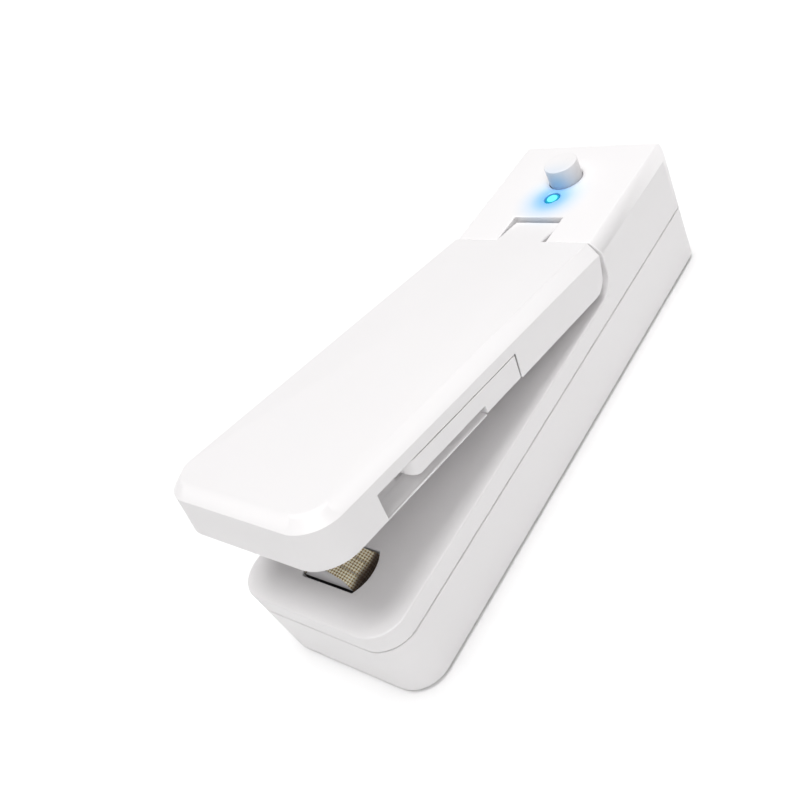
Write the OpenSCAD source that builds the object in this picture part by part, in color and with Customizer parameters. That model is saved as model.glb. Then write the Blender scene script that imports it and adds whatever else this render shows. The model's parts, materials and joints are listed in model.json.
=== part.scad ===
// Hand-held bag sealer: a base with a heated head, and a spring-opened arm that carries a fold-out cutter.
// Millimetres. +Z is up, -Y is the front, and the origin is the middle of the footprint.
// The arm's pieces are drawn shut, in their own upright frame, and arm_pose() lifts them open.

/* [Body] */
// Length of the base, front to rear
body_l = 106; // [104:1:110]
// Width of the base and of the arm
body_w = 33.2; // [33:0.2:36]
// Height of the rear block
body_h = 25.6; // [25.4:0.1:26.4]
// Height of the deck under the arm
deck_h = 16.35; // [16.2:0.05:16.5]
// Height of the parting line between the two shells
part_h = 12.4; // [12:0.1:12.6]
// Thickness of the shells
wall = 1.6; // [1.4:0.1:1.7]
// Radius of the front corners, seen from above
front_r = 5.8; // [5:0.2:7]
// Radius of the rear corners, seen from above
rear_r = 3.8; // [3:0.2:5]
// Width of the slanted edge along the top of the sides
side_bevel = 2.1; // [1.5:0.1:2.2]
// Width of the slanted edge round the bottom
foot_bevel = 0.9; // [0.5:0.1:1.2]
// Open line between two mouldings
seam = 0.25; // [0.15:0.05:0.35]

/* [Rear block] */
// Front wall of the block, at its foot
block_y = 22.6; // [22.4:0.1:23]
// Radius that joins the block's front wall to the deck
foot_r = 4; // [3.6:0.1:4.2]
// Width of the notch for the arm's tongue
notch_w = 10.8; // [10.6:0.1:11]
// Rear wall of the notch
notch_y = 30.1; // [30:0.1:30.4]
// Middle of the indicator light
led_y = 35.75; // [35.5:0.05:36]
// Middle of the push button
button_y = 41.7; // [41.5:0.1:42]
// Diameter of the push button
button_d = 6.5; // [6:0.1:6.6]
// Height of the push button above the block
button_rise = 3.6; // [2.5:0.1:4]

/* [Arm] */
// Angle at which the arm stands open
arm_open = 11.43; // [11:0.01:11.8]
// Top of the arm when it is shut
arm_top = 25.23; // [25.2:0.01:25.3]
// Depth of the arm's side, top to bottom
arm_h = 8.6; // [8.5:0.05:8.6]
// Rear end of the arm's side
arm_rear_y = 21; // [20.6:0.1:21]
// Amount by which the arm's rear end leans back at the top
arm_rear_lean = 0.65; // [0.3:0.05:0.7]
// Distance of the hinge pin from the middle of the base
hinge_y = 26.2; // [26:0.1:26.4]
// Height of the hinge pin
hinge_z = 20.4; // [20.3:0.1:20.6]
// Diameter of the hinge pin
hinge_d = 2.4; // [2:0.1:2.6]

/* [Heated head] */
// Middle of the head
head_y = -43.1; // [-43.4:0.1:-42.8]
// Radius of the round opening that the head stands in
head_r = 6.65; // [6.6:0.05:6.8]
// Half the opening's length between its two flats
head_half = 3.85; // [3.8:0.05:4]
// Height of the head above the deck
head_rise = 2.3; // [2:0.1:2.3]
// Half the width of the cloth over the head
cloth_x = 5.6; // [5.5:0.05:5.6]
// Thickness of the cloth
cloth_t = 0.3; // [0.2:0.05:0.3]

/* [Cutter lever] */
// Front end of the lever
lever_y0 = -35.2; // [-35.4:0.1:-34]
// Distance of the lever's pin from the middle of the base
lever_pin_y = -9.25; // [-9.4:0.05:-9]
// Thickness of the lever
lever_t = 3.2; // [3:0.1:3.2]
// Depth of the lever's narrow front part
lever_h = 2.7; // [2.5:0.1:2.7]
// Front end of the recess for the fingernail
scoop_y0 = -41.05; // [-41.4:0.05:-40.5]

/* [Hidden] */
$fn = 64;
half_w = body_w / 2;
half_l = body_l / 2;
fit = 0.05;                             // running clearance on a radius
snug = 0.02;                            // clearance on a radius between pieces that don't move
eps = 0.01;
gap = 0.1;                              // open line round the lever and other loose fits
hole_gap = 0.15;                        // clearance on a radius round a screw or a lamp's leg
weld = 0.2;                             // depth by which the shapes of one piece run into each other
past = 1;                               // length by which a cut runs out of the piece

// Shells
deck_under = deck_h - wall;
roof_under = body_h - wall;
lip_t = 0.75;
lip_h = 1.2;
joint_y = block_y + 0.5;                // the block's front wall leans back by this much at the top
top_bevel = 0.9;                        // slanted edge along the top of the block's rear end
screw_spots = [[-12, -45], [12, -45], [-12.4, 46.8], [12.4, 46.8]];
screw_r = 0.85;
screw_head_r = 1.8;
screw_head_z = 0.9;
screw_head_h = 1.2;
post_r = 2.5;
post_gap = 0.3;                         // open space between a lower post and the upper one
top_post_r = 2.2;
base_bite = 1.5;                        // depth of a screw's thread in the top shell
board_bite = 3;

// Notch, hinge and spring
tongue_w = notch_w - 0.6;
tongue_y = notch_y - 1.3;
tongue_bottom = deck_h + 1.25;
pocket_wall = 1.5;
hinge_r = hinge_d / 2;
hinge_half = 8.4;
hinge_boss_r = 2.8;
spring_y = 14.4;
spring_r = 2.3;
spring_wire_r = 0.3;
spring_z0 = 13.6;
spring_z1 = 25.4;
spring_turns = 6;
cup_r = 3;
cup_wall = 1.2;
spring_room = 0.6;                      // extra radius of the hole in the liner, as the arm swings

// Arm
arm_bottom = arm_top - arm_h;
arm_foot_r = 3.3;
arm_front = -half_l;
arm_in_x0 = -(half_w - wall);
arm_in_x1 = 10.5;                       // right of this the arm is solid round the lever
arm_in_y0 = arm_front + wall;
arm_in_y1 = 18.9;
arm_roof = arm_top - wall;
liner_t = 1.2;
liner_gap = 0.1;
arm_screw_ys = [-30, 4];
pad_x = 6.9;
pad_half = 4.3;
pad_t = 2;
pad_z = deck_h + head_rise + 0.1;
tray_wall = 1.1;

// Cutter lever
lever_x0 = half_w - lever_t;
lever_top = 20.98;
lever_bottom = arm_bottom + 2 * gap;
lever_step_y = -16.6;
lever_corner_r = 2.6;                   // outer front corner, seen from above
lever_pin_x = half_w - 2;
lever_pin_r = 0.8;
lever_pin_bite = 2.4;                   // length of the pin in the arm's wall above the lever
knuckle_r = 3;
blade_t = 0.4;
blade_gap = 0.4;
blade_z = lever_top - lever_h / 2;
blade_x = 11.2;
blade_edge = 0.6;                       // depth of the blade's back behind the lever's outer face
blade_y0 = -31.5;
blade_y1 = -20;
rivet_y = -24;
rivet_r = 0.6;
rivet_x = half_w - 1.5;
scoop_r = 4.9;
scoop_x = half_w + 0.8;
scoop_z = arm_bottom + 4.9;

// Heated head: an arch whose axis runs front to rear
arch_half = 5.5;
arch_r = (arch_half * arch_half + head_rise * head_rise) / (2 * head_rise);
arch_z = deck_h + head_rise - arch_r;
seat_r = arch_r - cloth_t - snug;
seat_x = cloth_x - cloth_t - snug;
seat_z0 = 12.9;
seat_half = head_half - 0.4;
seat_lean = 0.8;
flange_x = 9;
flange_half = 6;
tab_half = 5;                           // half the width of the cloth's two ends, which sit in slots
strip_t = 0.2;
strip_half = 1;
strip_z0 = 11;
clip_x1 = 7.4;
clip_z0 = 10.3;
clip_half = 1.8;
lead_r = 0.55;
lead_x = 6.6;
lead_z = 11.6;
lead_y1 = 34.2;

// Battery and circuit board
cell_r = 5;
cell_y0 = -30;
cell_y1 = 14;
cell_z = wall + cell_r;
tab_t = 0.2;
rib_t = 1.5;
rib_x = 7;
rib_z = 5;
rib_ys = [-20, 4];
board_z = 17.9;
board_t = 1;
board_x = 13;
board_y0 = 32.9;
board_y1 = 51;
board_top = board_z + board_t;
board_screw_x = 10.4;
board_screw_y = 37.2;
board_post_r = 2;
switch_w = 6;
switch_top = 21.6;
stem_r = 1.7;
stem_z0 = 20.6;
stem_gap = 0.5;                         // floor of the switch's well, above the board
button_r = button_d / 2;
button_gap = 0.1;
button_z0 = 22.9;
button_flange_r = 4.2;
button_flange_h = 0.9;
led_r = 1.5;
led_flange_r = 1.9;
led_z0 = 20.3;
led_flange_h = 0.9;
led_leg_r = 0.25;
led_leg_x = 1.27;
led_drop = 0.05;                        // depth of the light's top below the block's top
usb_x = 3.8;
usb_h = 2.7;
usb_r = 0.6;
usb_y0 = 46.4;
usb_y1 = half_l - 0.5;
usb_wall = 0.3;
usb_gap = 0.25;

// ---------- shared shapes ----------

// Extrudes an outline drawn in (y, z) along X, about X = 0
module along_x(width) {
    rotate([90, 0, 90]) linear_extrude(height = width, center = true) children();
}

// Extrudes an outline drawn in (x, z) along Y, about Y = 0
module along_y(length) {
    rotate([90, 0, 0]) linear_extrude(height = length, center = true) children();
}

// A box between two opposite corners
module box(a, b) {
    translate(a) cube(b - a);
}

// Outline from above with round corners of one radius in front and another behind
module outline(w, y0, y1, r0, r1) {
    mid = (y0 + y1) / 2;
    translate([-w, y0 + r0]) square([2 * w, y1 - r1 - y0 - r0]);
    translate([-(w - r0), y0]) square([2 * (w - r0), mid - y0]);
    translate([-(w - r1), mid]) square([2 * (w - r1), y1 - mid]);
    for (s = [-1, 1]) {
        translate([s * (w - r0), y0 + r0]) circle(r0);
        translate([s * (w - r1), y1 - r1]) circle(r1);
    }
}

// A layer as thick as its 45 degree edge is wide: full size below, narrower on top
module bevel_layer(w, y0, y1, r0, r1, b) {
    mid = (y0 + y1) / 2;
    for (s = [-1, 1]) {
        translate([s * (w - r0), y0 + r0, 0]) cylinder(h = b, r1 = r0, r2 = r0 - b);
        translate([s * (w - r1), y1 - r1, 0]) cylinder(h = b, r1 = r1, r2 = r1 - b);
    }
    translate([0, (y0 + r0 + y1 - r1) / 2, 0])
        along_y(y1 - r1 - y0 - r0) polygon([[-w, 0], [w, 0], [w - b, b], [b - w, b]]);
    along_x(2 * (w - r0)) polygon([[y0, 0], [mid, 0], [mid, b], [y0 + b, b]]);
    along_x(2 * (w - r1)) polygon([[mid, 0], [y1, 0], [y1 - b, b], [mid, b]]);
}

// The body's outline from above, drawn in by inset
module body_outline(inset = 0) {
    outline(half_w - inset, -half_l + inset, half_l - inset, front_r - inset, rear_r - inset);
}

// A screw that points up, with its head's underside at the origin
module screw(length, head_r = screw_head_r, head_h = screw_head_h, r = screw_r) {
    slot_w = head_r * 0.35;
    difference() {
        translate([0, 0, -head_h]) cylinder(h = head_h, r = head_r);
        for (turn = [0, 90]) rotate(turn)
            translate([0, 0, -head_h]) cube([head_r * 1.2, slot_w, head_h], center = true);
    }
    cylinder(h = length, r = r);
}

// Lifts what is drawn for the shut arm to the open position
module arm_pose() {
    translate([0, hinge_y, hinge_z]) rotate([-arm_open, 0, 0]) translate([0, -hinge_y, -hinge_z]) children();
}

// ---------- base ----------

module base_shell() {
    top = part_h - seam / 2;
    color("whitesmoke") difference() {
        union() {
            difference() {
                union() {
                    translate([0, 0, foot_bevel]) mirror([0, 0, 1])
                        bevel_layer(half_w, -half_l, half_l, front_r, rear_r, foot_bevel);
                    translate([0, 0, foot_bevel]) linear_extrude(top - foot_bevel) body_outline();
                    translate([0, 0, wall]) linear_extrude(part_h + lip_h - wall) body_outline(lip_t + fit);
                }
                translate([0, 0, wall]) linear_extrude(body_h) body_outline(wall);
            }
            for (p = screw_spots) translate([p[0], p[1], wall / 2])
                cylinder(h = part_h - post_gap - wall / 2, r = post_r);
            for (y = rib_ys) difference() {
                box([-rib_x, y, wall / 2], [rib_x, y + rib_t, rib_z]);
                translate([0, y + rib_t / 2, cell_z]) along_y(2 * rib_t) circle(cell_r + fit);
            }
        }
        for (p = screw_spots) translate([p[0], p[1], 0]) {
            translate([0, 0, -past]) cylinder(h = body_h, r = screw_r + hole_gap);
            translate([0, 0, -past])
                cylinder(h = past + screw_head_z + screw_head_h, r = screw_head_r + gap);
        }
    }
}

// The top shell from the side, in (y, z): the deck, a hollow curve up and the block
module top_side(inset = 0) {
    y = block_y + inset;
    z = deck_h - inset;
    polygon([[-half_l + inset, 0], [half_l - inset, 0], [half_l - inset, body_h - inset],
             [joint_y + inset, body_h - inset], [y, deck_h + foot_r], [y, z], [-half_l + inset, z]]);
    difference() {
        translate([block_y - foot_r, z]) square([foot_r + inset, foot_r + inset]);
        translate([block_y - foot_r, deck_h + foot_r]) circle(foot_r + inset);
    }
}

// The top shell from the front, in (x, z), with its slanted side edges
module top_front() {
    polygon([[-half_w, 0], [half_w, 0], [half_w, body_h - side_bevel], [half_w - side_bevel, body_h],
             [side_bevel - half_w, body_h], [-half_w, body_h - side_bevel]]);
}

module head_opening() {
    intersection() {
        circle(head_r);
        square([3 * head_r, 2 * head_half], center = true);
    }
}

module top_shell_skin() {
    difference() {
        intersection() {
            translate([0, 0, part_h + seam / 2]) linear_extrude(body_h) body_outline();
            along_x(body_w + 2 * past) top_side();
            along_y(body_l + 2 * past) top_front();
        }
        intersection() {
            linear_extrude(body_h) body_outline(wall);
            along_x(body_w) top_side(wall);
        }
        linear_extrude(part_h + lip_h + gap) body_outline(lip_t);
        along_x(body_w)
            polygon([[half_l - top_bevel, body_h], [half_l, body_h - top_bevel], [half_l, body_h]]);
    }
}

module top_shell() {
    pocket_x = notch_w / 2 + pocket_wall;
    color("white") difference() {
        union() {
            top_shell_skin();
            // walls of the notch and the bosses for the hinge pin
            box([-pocket_x, joint_y + 2 * weld, deck_under], [pocket_x, notch_y + pocket_wall, body_h - eps]);
            translate([0, hinge_y, hinge_z]) along_x_cylinder(hinge_half + 2 * weld, hinge_boss_r);
            // cup for the spring
            translate([0, spring_y, spring_z0 - cup_wall])
                cylinder(h = deck_under - spring_z0 + cup_wall + weld, r = cup_r + cup_wall);
            // posts for the screws
            for (p = screw_spots) translate([p[0], p[1], part_h])
                cylinder(h = (p[1] < 0 ? deck_under : roof_under) + weld - part_h, r = top_post_r);
            for (s = [-1, 1]) translate([s * board_screw_x, board_screw_y, board_top])
                cylinder(h = roof_under + weld - board_top, r = board_post_r);
        }
        box([-notch_w / 2, 0, deck_h], [notch_w / 2, notch_y, body_h + past]);
        translate([0, hinge_y, hinge_z]) along_x_cylinder(hinge_half + gap, hinge_r + snug);
        translate([0, spring_y, spring_z0]) cylinder(h = body_h, r = cup_r);
        translate([0, head_y, part_h]) linear_extrude(wall + deck_h) head_opening();
        for (p = screw_spots) translate([p[0], p[1], 0])
            cylinder(h = part_h + base_bite + post_gap, r = screw_r + snug);
        for (s = [-1, 1]) translate([s * board_screw_x, board_screw_y, 0])
            cylinder(h = board_top + board_bite + weld, r = screw_r + snug);
        translate([0, led_y, roof_under - past]) cylinder(h = wall + 2 * past, r = led_r + button_gap);
        translate([0, button_y, roof_under - past]) cylinder(h = wall + 2 * past, r = button_r + button_gap);
        translate([0, half_l, board_z - usb_h / 2]) usb_mouth(usb_gap);
    }
}

// A cylinder about the X axis, reaching half_length each way
module along_x_cylinder(half_length, r) {
    rotate([0, 90, 0]) cylinder(h = 2 * half_length, r = r, center = true);
}

// The socket's outline, cut through the rear wall
module usb_mouth(extra) {
    along_y(2 * wall + past) offset_box(usb_x + extra, usb_h / 2 + extra, usb_r);
}

// A rectangle with round corners, from squares and circles
module offset_box(x, z, r) {
    square([2 * x, 2 * (z - r)], center = true);
    square([2 * (x - r), 2 * z], center = true);
    for (i = [-1, 1], j = [-1, 1]) translate([i * (x - r), j * (z - r)]) circle(r);
}

// ---------- heated head ----------

// Side view of the head in (y, z): its two end faces lean in
module head_side(half, top) {
    polygon([[head_y - half, 0], [head_y + half, 0], [head_y + half, deck_h],
             [head_y + half - seat_lean, top], [head_y - half + seat_lean, top], [head_y - half, deck_h]]);
}

// An arch over the head, as wide as x each way, above z0
module arch(r, x, z0, half) {
    intersection() {
        translate([0, head_y, arch_z]) along_y(3 * half) circle(r);
        box([-x, head_y - half, z0], [x, head_y + half, body_h]);
        along_x(body_w) head_side(half, deck_h + head_rise + gap);
    }
}

module heater_seat() {
    color("lightgray") difference() {
        union() {
            arch(seat_r, seat_x, seat_z0, seat_half);
            box([-flange_x, head_y - flange_half, seat_z0],
                [flange_x, head_y + flange_half, deck_under - snug]);
        }
        // groove for the strip, and its way down both sides
        difference() {
            box([-body_w, head_y - strip_half - fit, 0], [body_w, head_y + strip_half + fit, body_h]);
            arch(seat_r - strip_t - fit, seat_x - strip_t - fit, 0, seat_half);
            box([-flange_x - past, -half_l, 0], [-seat_x, 0, body_h]);
            box([seat_x, -half_l, 0], [flange_x + past, 0, body_h]);
        }
        // slots that the cloth is tucked into
        for (s = [-1, 1]) translate([s * (seat_x + cloth_x + gap) / 2, head_y, seat_z0])
            cube([cloth_x + gap - seat_x, 2 * (tab_half + gap), 2 * wall + past], center = true);
    }
}

module heater_wire() {
    color("silver") intersection() {
        difference() {
            arch(seat_r - fit, seat_x - fit, strip_z0, seat_half);
            arch(seat_r - strip_t - fit, seat_x - strip_t - fit, 0, seat_half);
        }
        box([-body_w, head_y - strip_half, 0], [body_w, head_y + strip_half, body_h]);
    }
}

// A strip over the arch, with a wide tab at each end that keeps it in its slot
module heater_cloth() {
    color("burlywood") difference() {
        union() {
            arch(arch_r, cloth_x, seat_z0, seat_half);
            box([-cloth_x, head_y - tab_half, seat_z0], [cloth_x, head_y + tab_half, deck_under - fit]);
        }
        arch(arch_r - cloth_t, cloth_x - cloth_t, 0, seat_half + eps);
        box([-(cloth_x - cloth_t), -half_l, 0], [cloth_x - cloth_t, 0, deck_under]);
    }
}

module heater_terminals() {
    color("goldenrod") for (s = [-1, 1]) {
        x = (seat_x + clip_x1) / 2;
        translate([s * x, head_y, (clip_z0 + seat_z0 - fit) / 2])
            cube([clip_x1 - seat_x, 2 * clip_half, seat_z0 - fit - clip_z0], center = true);
    }
}

module heater_leads() {
    y0 = head_y + clip_half;
    color("firebrick") for (s = [-1, 1]) translate([s * lead_x, 0, lead_z]) {
        translate([0, (y0 + lead_y1) / 2, 0]) along_y(lead_y1 - y0) circle(lead_r);
        translate([0, lead_y1, 0]) sphere(lead_r);
        translate([0, lead_y1, 0]) cylinder(h = board_z - lead_z, r = lead_r);
    }
}

// ---------- battery, board and button ----------

module battery() {
    color("steelblue") translate([0, (cell_y0 + cell_y1) / 2, cell_z]) {
        along_y(cell_y1 - cell_y0) circle(cell_r);
    }
}

module battery_tabs() {
    tab_w = 4;
    tab_h = 6;
    color("silver") for (y = [cell_y0 - tab_t / 2, cell_y1 + tab_t / 2])
        translate([0, y, cell_z + tab_h / 4]) cube([tab_w, tab_t, tab_h], center = true);
}

module circuit_board() {
    color("darkgreen") difference() {
        box([-board_x, board_y0, board_z], [board_x, board_y1, board_top]);
        for (s = [-1, 1]) translate([s * board_screw_x, board_screw_y, 0])
            cylinder(h = body_h, r = screw_r + hole_gap);
        for (p = screw_spots) translate([p[0], p[1], 0]) cylinder(h = body_h, r = post_r);
    }
}

// Charging chip, coil and small parts on the board
module board_parts() {
    chip = [5, 4, 1.2];
    coil_r = 2;
    coil_h = 1.8;
    small = [1.6, 0.8, 0.6];
    color("dimgray") translate([0, 0, board_top]) {
        translate([4.6, 44.2, 0]) cube(chip);
        translate([-7.6, 46, 0]) cylinder(h = coil_h, r = coil_r);
        for (i = [0:3]) translate([-8.6 + 0.1 * i, 38.4 + 1.3 * i, 0]) cube(small);
    }
}

module push_switch() {
    color("black") difference() {
        box([-switch_w / 2, button_y - switch_w / 2, board_top],
            [switch_w / 2, button_y + switch_w / 2, switch_top]);
        translate([0, button_y, board_top + stem_gap]) cylinder(h = body_h, r = stem_r + fit);
    }
}

module switch_plunger() {
    color("dimgray") translate([0, button_y, stem_z0]) cylinder(h = button_z0 - stem_z0, r = stem_r);
}

module power_button() {
    edge = 0.35;
    top = body_h + button_rise;
    color("white") translate([0, button_y, 0]) {
        translate([0, 0, button_z0]) cylinder(h = button_flange_h, r = button_flange_r);
        translate([0, 0, button_z0]) cylinder(h = top - edge - button_z0, r = button_r);
        translate([0, 0, top - edge]) cylinder(h = edge, r1 = button_r, r2 = button_r - edge);
    }
}

module indicator_led() {
    top = body_h - led_drop;
    color("deepskyblue") translate([0, led_y, 0]) {
        translate([0, 0, led_z0]) cylinder(h = led_flange_h, r = led_flange_r);
        translate([0, 0, led_z0]) cylinder(h = top - led_r - led_z0, r = led_r);
        translate([0, 0, top - led_r]) sphere(led_r);
        for (s = [-1, 1]) translate([s * led_leg_x, 0, board_top])
            cylinder(h = led_z0 + weld - board_top, r = led_leg_r);
    }
}

module usb_socket() {
    mid = board_z - usb_h / 2;
    color("silver") translate([0, (usb_y0 + usb_y1) / 2, mid]) difference() {
        along_y(usb_y1 - usb_y0) offset_box(usb_x, usb_h / 2, usb_r);
        translate([0, usb_wall * 2, 0])
            along_y(usb_y1 - usb_y0) offset_box(usb_x - usb_wall, usb_h / 2 - usb_wall, usb_r - usb_wall);
    }
}

module usb_tongue() {
    tongue_x = 2.6;
    tongue_h = 0.7;
    tongue_in = 1;
    mid = board_z - usb_h / 2;
    color("black")
        box([-tongue_x, usb_y0 + 2 * usb_wall, mid - tongue_h / 2],
            [tongue_x, usb_y1 - tongue_in, mid + tongue_h / 2]);
}

// ---------- hinge and spring ----------

module hinge_pin() {
    color("silver") translate([0, hinge_y, hinge_z]) along_x_cylinder(hinge_half, hinge_r);
}

// Points of one ring of the spring's wire, at turn t (0 to spring_turns)
function ring(t, sides) = let (
        a = 360 * t,
        z = spring_z0 + spring_wire_r
            + (spring_z1 - spring_z0 - 2 * spring_wire_r) * t / spring_turns)
    [for (i = [0:sides - 1]) let (b = 360 * i / sides, r = spring_r + spring_wire_r * cos(b))
        [r * cos(a), r * sin(a), z + spring_wire_r * sin(b)]];

module arm_spring() {
    sides = 8;
    steps = 16 * spring_turns;
    last = steps * sides;
    rings = [for (k = [0:steps]) each ring(k * spring_turns / steps, sides)];
    skin = [for (k = [0:steps - 1], i = [0:sides - 1])
        let (j = (i + 1) % sides, a = k * sides, b = (k + 1) * sides) [a + i, a + j, b + j, b + i]];
    ends = [[for (i = [sides - 1:-1:0]) i], [for (i = [0:sides - 1]) last + i]];
    color("silver") translate([0, spring_y, 0]) polyhedron(points = rings, faces = concat(skin, ends));
}

// ---------- arm ----------

// Side view of the arm in (y, z), with its round lower rear corner
module arm_side() {
    y = arm_rear_y - arm_foot_r;
    z = arm_bottom + arm_foot_r;
    translate([arm_front - past, arm_bottom]) square([y - arm_front + past, arm_h]);
    polygon([[y, z], [arm_rear_y, z], [arm_rear_y + arm_rear_lean, arm_top], [y, arm_top]]);
    translate([y, z]) circle(arm_foot_r);
}

module arm_outline(inset = 0) {
    outline(half_w - inset, arm_front + inset, half_l, front_r - inset, rear_r);
}

module arm_tongue() {
    r = 1.5;
    along_x(tongue_w) {
        translate([arm_in_y1, tongue_bottom + r]) square([tongue_y - arm_in_y1, arm_top - tongue_bottom - r]);
        translate([arm_in_y1, tongue_bottom]) square([tongue_y - arm_in_y1 - r, 2 * r]);
        translate([tongue_y - r, tongue_bottom + r]) circle(r);
    }
}

// Space for the lever, its knuckle and its blade, and the scoop in front of it
module lever_recess() {
    top = lever_top + gap;
    low = lever_top - lever_h - gap;
    deep = lever_x0 - gap;
    out = half_w + past;
    translate([scoop_x, (scoop_y0 + lever_step_y) / 2, scoop_z]) intersection() {
        along_y(lever_step_y - scoop_y0) circle(scoop_r);
        box([-body_w, -body_l, -arm_h], [body_w, body_l, top - scoop_z]);
    }
    box([deep, lever_y0 - gap, low], [out, lever_pin_y, top]);
    box([deep, lever_step_y - gap, arm_bottom - past], [out, lever_pin_y, top]);
    translate([lever_pin_x, lever_pin_y, arm_bottom - past])
        cylinder(h = top - arm_bottom + past, r = knuckle_r + 2 * gap);
    box([blade_x - blade_gap, blade_y0 - 2 * blade_gap, blade_z - blade_t],
        [deep + past, blade_y1 + blade_gap, blade_z + blade_t]);
}

module arm_shell() {
    color("white") arm_pose() difference() {
        union() {
            difference() {
                intersection() {
                    union() {
                        translate([0, 0, arm_bottom]) linear_extrude(arm_h - side_bevel) arm_outline();
                        translate([0, 0, arm_top - side_bevel])
                            bevel_layer(half_w, arm_front, half_l, front_r, rear_r, side_bevel);
                    }
                    along_x(body_w + 2 * past) arm_side();
                }
                intersection() {
                    translate([0, 0, arm_bottom - past])
                        linear_extrude(arm_roof - arm_bottom + past) arm_outline(wall);
                    box([arm_in_x0, arm_in_y0, 0], [arm_in_x1, arm_in_y1, body_h]);
                }
            }
            arm_tongue();
            for (y = arm_screw_ys) translate([0, y, arm_bottom + liner_t])
                cylinder(h = arm_roof + weld - arm_bottom - liner_t, r = board_post_r);
        }
        lever_recess();
        translate([0, hinge_y, hinge_z]) along_x_cylinder(half_w, hinge_r + fit);
        for (y = arm_screw_ys) translate([0, y, 0]) cylinder(h = arm_roof - post_gap, r = screw_r + snug);
        translate([lever_pin_x, lever_pin_y, lever_top])
            cylinder(h = lever_pin_bite + gap, r = lever_pin_r + snug);
    }
}

module arm_liner() {
    x1 = arm_in_x1 - liner_gap;
    tray_z = pad_z + pad_t;
    color("gainsboro") arm_pose() difference() {
        union() {
            intersection() {
                translate([0, 0, arm_bottom]) linear_extrude(liner_t) arm_outline(wall + liner_gap);
                box([-half_w, arm_front, 0], [x1, arm_in_y1 - liner_gap, body_h]);
            }
            box([-pad_x - tray_wall, head_y - pad_half - tray_wall, arm_bottom + gap],
                [pad_x + tray_wall, head_y + pad_half + tray_wall, tray_z + tray_wall]);
        }
        box([-pad_x - gap, head_y - pad_half - gap, 0], [pad_x + gap, head_y + pad_half + gap, tray_z]);
        translate([0, spring_y + gap, 0]) cylinder(h = body_h, r = cup_r + spring_room);
        for (y = arm_screw_ys) translate([0, y, 0]) {
            cylinder(h = body_h, r = screw_r + hole_gap);
            cylinder(h = arm_bottom + liner_t / 2, r = screw_head_r);
        }
    }
}

module press_pad() {
    color("tomato") arm_pose()
        box([-pad_x, head_y - pad_half, pad_z], [pad_x, head_y + pad_half, pad_z + pad_t - snug]);
}

// ---------- cutter lever ----------

// The lever seen from the right, in (y, z): deep at its pin, shallow in front, round at its tip
module lever_side() {
    z0 = lever_top - lever_h;
    translate([lever_y0 + lever_h, z0]) square([lever_pin_y - lever_y0 - lever_h + knuckle_r, lever_h]);
    translate([lever_step_y, lever_bottom])
        square([lever_pin_y + knuckle_r - lever_step_y, lever_top - lever_bottom]);
    intersection() {
        translate([lever_y0 + lever_h, lever_top]) circle(lever_h);
        translate([lever_y0, z0]) square([lever_h + weld, lever_h]);
    }
}

// The lever seen from above: its outer front corner is round, and it turns on a round knuckle
module lever_plan() {
    r = lever_corner_r;
    translate([lever_x0, lever_y0 + r]) square([lever_t, lever_pin_y - lever_y0 - r]);
    translate([lever_x0, lever_y0]) square([lever_t - r, r + weld]);
    intersection() {
        translate([half_w - r, lever_y0 + r]) circle(r);
        translate([lever_x0, lever_y0]) square([lever_t, r]);
    }
    intersection() {
        translate([lever_pin_x, lever_pin_y]) circle(knuckle_r);
        translate([0, lever_pin_y - knuckle_r]) square([half_w, 2 * knuckle_r]);
    }
}

module cutter_lever() {
    color("white") arm_pose() difference() {
        intersection() {
            translate([0, 0, arm_bottom]) linear_extrude(arm_h) lever_plan();
            along_x(body_w + 2 * past) lever_side();
        }
        translate([lever_pin_x, lever_pin_y, 0]) cylinder(h = body_h, r = lever_pin_r + fit);
        translate([rivet_x, rivet_y, 0]) cylinder(h = body_h, r = rivet_r + snug);
        box([0, blade_y0 - snug, blade_z - blade_t / 2 - snug],
            [half_w - blade_edge + gap, blade_y1 + snug, blade_z + blade_t / 2 + snug]);
    }
}

module cutter_blade() {
    hook = 2.2;
    color("silver") arm_pose() translate([0, 0, blade_z - blade_t / 2]) difference() {
        linear_extrude(blade_t) polygon([[half_w - blade_edge, blade_y0], [half_w - blade_edge, blade_y1],
            [lever_x0, blade_y1], [blade_x, blade_y0 + 2 * hook], [blade_x, blade_y0 + hook],
            [lever_x0, blade_y0]]);
        translate([rivet_x, rivet_y, -past]) cylinder(h = 2 * past, r = rivet_r + snug);
    }
}

module blade_rivet() {
    color("gray") arm_pose() translate([rivet_x, rivet_y, lever_top - lever_h + 2 * gap])
        cylinder(h = lever_h - 4 * gap, r = rivet_r);
}

module lever_pin() {
    color("silver") arm_pose() translate([lever_pin_x, lever_pin_y, lever_bottom + 2 * gap])
        cylinder(h = lever_top + lever_pin_bite - lever_bottom - 2 * gap, r = lever_pin_r);
}

// ---------- screws ----------

module arm_screws() {
    color("gray") arm_pose() for (y = arm_screw_ys) translate([0, y, arm_bottom + liner_t / 2])
        screw(arm_roof - 2 * post_gap - arm_bottom - liner_t / 2, screw_head_r - fit, liner_t / 2 - fit);
}

module base_screws() {
    color("gray") for (p = screw_spots) translate([p[0], p[1], screw_head_z + screw_head_h])
        screw(part_h + base_bite - screw_head_z - screw_head_h);
}

module board_screws() {
    head_h = 0.9;
    color("gray") for (s = [-1, 1]) translate([s * board_screw_x, board_screw_y, board_z])
        screw(board_t + board_bite, screw_head_r, head_h);
}

base_shell();
top_shell();
heater_seat();
heater_wire();
heater_cloth();
heater_terminals();
heater_leads();
battery();
battery_tabs();
circuit_board();
board_parts();
push_switch();
switch_plunger();
power_button();
indicator_led();
usb_socket();
usb_tongue();
hinge_pin();
arm_spring();
arm_shell();
arm_liner();
press_pad();
arm_screws();
base_screws();
board_screws();
cutter_lever();
cutter_blade();
blade_rivet();
lever_pin();
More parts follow.
